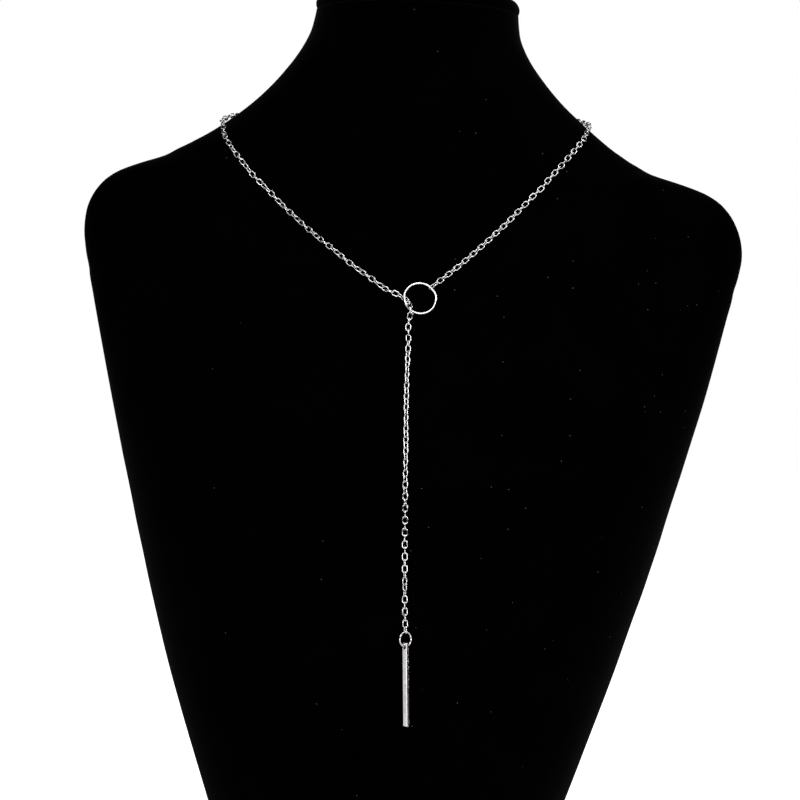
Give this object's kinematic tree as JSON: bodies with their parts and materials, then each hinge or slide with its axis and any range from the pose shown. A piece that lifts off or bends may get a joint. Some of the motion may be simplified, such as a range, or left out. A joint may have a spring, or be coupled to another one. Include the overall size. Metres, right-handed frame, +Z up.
{
  "type": "bar necklace on a neck bust",
  "caption": "Fine cable chain drawn through a ring, its long end hanging down the chest with a square bar on a jump ring, worn by a plain velvet neck bust.",
  "frame": {"origin": "under the middle of the whole object, on the plane that the bust stands on", "axes": "+Z up along the bust's height, -Y towards the front that the necklace hangs on, +X to the right seen from the front"},
  "size_m": [0.2413, 0.1329, 0.326],
  "materials": {
    "velvet": "black short-pile velvet",
    "chain_metal": "bright silver-coloured metal, polished wire",
    "bar_metal": "polished silver-coloured metal"
  },
  "bodies": {
    "stand": {"bust": "velvet", "neck_cap": "velvet", "long_chain_neck": "chain_metal", "long_chain_drop": "chain_metal", "short_chain": "chain_metal", "ring": "chain_metal", "jump_ring": "chain_metal", "clasp": "chain_metal"},
    "pendant": {"bar": "bar_metal"}
  },
  "joints": [
    {"name": "bar_swing", "type": "hinge", "parent": "stand", "child": "pendant", "pos_m": [0.0028, -0.06451, 0.0924], "axis": [-0.5144, -0.8572, -0.0252], "range_deg": [-13, 40]}
  ]
}
